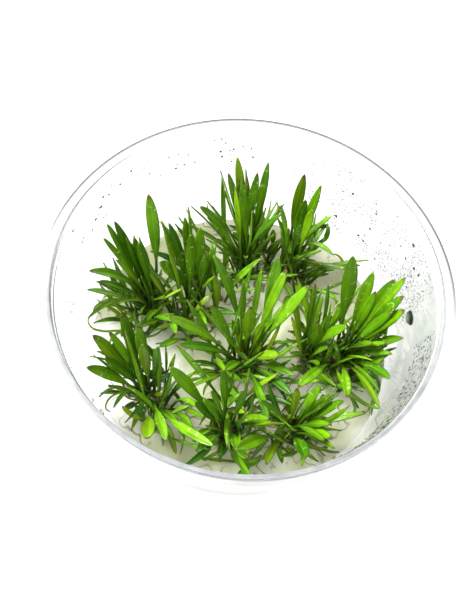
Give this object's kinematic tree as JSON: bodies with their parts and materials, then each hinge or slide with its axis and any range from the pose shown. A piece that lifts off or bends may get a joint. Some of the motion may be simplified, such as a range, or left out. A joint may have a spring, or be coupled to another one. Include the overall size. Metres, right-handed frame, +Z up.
{
  "type": "tissue culture plant cup",
  "caption": "Open clear tapered plastic cup of agar gel in which tissue-culture aquarium plantlets with narrow lance-shaped leaves stand in tufts.",
  "frame": {"origin": "centre of the flat underside of the cup", "axes": "+Z up out of the cup's mouth, +Y towards the back of the pictured group, +X to its right"},
  "size_m": [0.1, 0.1, 0.05],
  "materials": {
    "clear_plastic": "clear, smooth and glossy",
    "agar": "translucent, cream-white, wet and glossy",
    "crown_green": "satin, green with paler bases",
    "leaf_green": "glossy, fresh green"
  },
  "bodies": {
    "root": {"cup": "clear_plastic", "agar_gel": "agar", "plant_back": "crown_green", "plant_back_right": "crown_green", "plant_left": "crown_green", "plant_left_back": "crown_green", "plant_centre": "crown_green", "plant_mid_right": "crown_green", "plant_right": "crown_green", "plant_front_left": "crown_green", "plant_front": "crown_green", "plant_front_right": "crown_green", "leaf_back_1": "leaf_green", "leaf_back_2": "leaf_green", "leaf_back_3": "leaf_green", "leaf_back_4": "leaf_green", "leaf_back_5": "leaf_green", "leaf_back_right_1": "leaf_green", "leaf_back_right_2": "leaf_green", "leaf_back_right_3": "leaf_green", "leaf_back_right_4": "leaf_green", "leaf_back_right_5": "leaf_green", "leaf_left_1": "leaf_green", "leaf_left_2": "leaf_green", "leaf_left_3": "leaf_green", "leaf_left_4": "leaf_green", "leaf_left_5": "leaf_green", "leaf_left_back_1": "leaf_green", "leaf_left_back_2": "leaf_green", "leaf_left_back_3": "leaf_green", "leaf_left_back_4": "leaf_green", "leaf_centre_1": "leaf_green", "leaf_centre_2": "leaf_green", "leaf_centre_3": "leaf_green", "leaf_centre_4": "leaf_green", "leaf_centre_5": "leaf_green", "leaf_centre_6": "leaf_green", "leaf_mid_right_1": "leaf_green", "leaf_mid_right_2": "leaf_green", "leaf_right_1": "leaf_green", "leaf_right_2": "leaf_green", "leaf_right_3": "leaf_green", "leaf_right_4": "leaf_green", "leaf_right_5": "leaf_green", "leaf_right_6": "leaf_green", "leaf_front_left_1": "leaf_green", "leaf_front_left_2": "leaf_green", "leaf_front_left_3": "leaf_green", "leaf_front_left_4": "leaf_green", "leaf_front_left_5": "leaf_green", "leaf_front_1": "leaf_green", "leaf_front_2": "leaf_green", "leaf_front_3": "leaf_green", "leaf_front_4": "leaf_green", "leaf_front_right_1": "leaf_green", "leaf_front_right_2": "leaf_green", "leaf_front_right_3": "leaf_green", "leaf_front_right_4": "leaf_green"}
  },
  "joints": []
}
